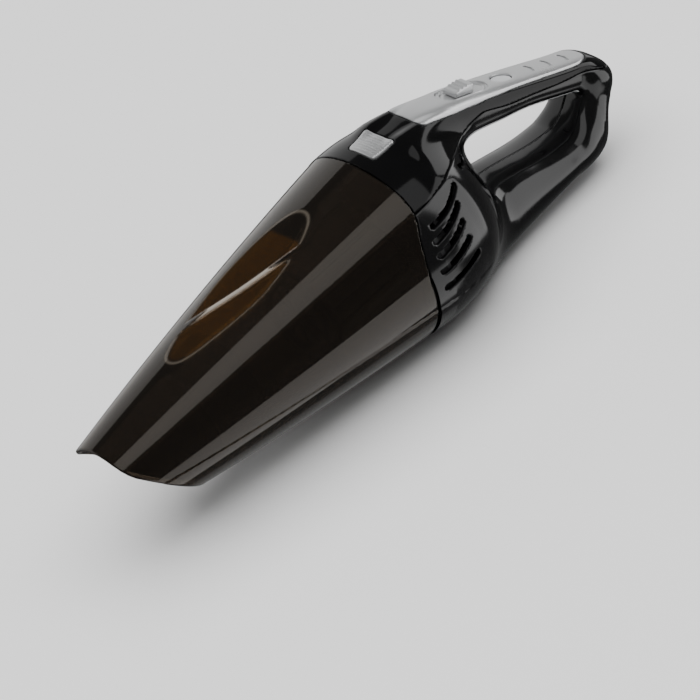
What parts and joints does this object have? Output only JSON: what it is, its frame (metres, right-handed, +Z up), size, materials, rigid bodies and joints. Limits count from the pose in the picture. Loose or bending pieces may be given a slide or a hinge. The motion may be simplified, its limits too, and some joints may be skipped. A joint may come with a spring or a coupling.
{
  "type": "handheld vacuum",
  "caption": "Cordless handheld vacuum with a smoked tapered dust cup, slanted nozzle, vented motor body and a closed loop handle with a silver top trim.",
  "frame": {"origin": "centre of the bounding box at the lowest level, under the body beside the cup joint", "axes": "+X from the nozzle to the handle along the motor axis, +Y to the object's right side seen from behind the handle, +Z up toward the switch"},
  "size_m": [0.3785, 0.1114, 0.1122],
  "materials": {
    "smoked_cup": "clear smoked plastic, high gloss",
    "duct_plastic": "satin",
    "filter_plastic": "satin",
    "filter_paper": "pleated fibre",
    "screen_metal": "satin",
    "seal_rubber": "matte",
    "black_gloss": "piano black",
    "black_satin": "satin black",
    "silver_trim": "satin silver paint",
    "clear_lens": "frosted lens",
    "inner_plastic": "matte",
    "circuit_board": "solder mask",
    "spring_steel": "bright",
    "fan_metal": "satin",
    "motor_steel": "zinc plated",
    "copper": "copper",
    "bronze": "sintered bronze",
    "carbon": "carbon",
    "cell_wrap": "shrink sleeve over a cell",
    "nickel": "nickel strip",
    "red_insulation": "wire insulation",
    "black_insulation": "wire insulation"
  },
  "bodies": {
    "housing": {"upper_shell": "black_gloss", "left_housing": "black_satin", "right_housing": "black_satin", "handle_trim": "silver_trim", "indicator_lens": "clear_lens", "switch_body": "inner_plastic", "control_board": "circuit_board", "release_spring": "spring_steel", "bulkhead": "inner_plastic", "fan_housing": "inner_plastic", "motor_can": "motor_steel", "motor_endbell": "inner_plastic", "brush_left": "carbon", "brush_right": "carbon", "front_bearing": "bronze", "rear_bearing": "bronze", "motor_mount_front": "inner_plastic", "motor_mount_rear": "inner_plastic", "battery_cell_left": "cell_wrap", "battery_cell_right": "cell_wrap", "battery_cradle": "inner_plastic", "battery_link": "nickel", "charge_jack": "inner_plastic", "motor_lead_red": "red_insulation", "motor_lead_black": "black_insulation", "charge_lead": "red_insulation", "housing_screw_1": "motor_steel", "housing_screw_2": "motor_steel", "housing_screw_3": "motor_steel", "housing_screw_4": "motor_steel", "housing_screw_5": "motor_steel", "housing_screw_6": "motor_steel"},
    "cup": {"dust_cup": "smoked_cup", "inlet_duct": "duct_plastic", "filter_frame": "filter_plastic", "hepa_filter": "filter_paper", "filter_mesh": "screen_metal", "filter_gasket": "seal_rubber"},
    "button": {"release_button": "silver_trim"},
    "knob": {"switch_knob": "silver_trim"},
    "rotor": {"impeller": "fan_metal", "impeller_nut": "motor_steel", "motor_shaft": "motor_steel", "rotor_core": "motor_steel", "commutator": "copper"}
  },
  "joints": [
    {"name": "cup_slide", "type": "slide", "parent": "housing", "child": "cup", "axis": [-1, 0, 0], "range_m": [0, 0.08]},
    {"name": "button_press", "type": "slide", "parent": "housing", "child": "button", "axis": [0, 0, -1], "range_m": [0, 0.003], "stiffness_N_per_m": 400, "springref_m": -0.002, "deforming": ["release_spring"]},
    {"name": "switch_slide", "type": "slide", "parent": "housing", "child": "knob", "axis": [0.9219, 0, -0.3875], "range_m": [0, 0.006]},
    {"name": "rotor_spin", "type": "hinge", "parent": "housing", "child": "rotor", "pos_m": [0.0428, 0, 0.0557], "axis": [1, 0, 0], "continuous": true}
  ]
}
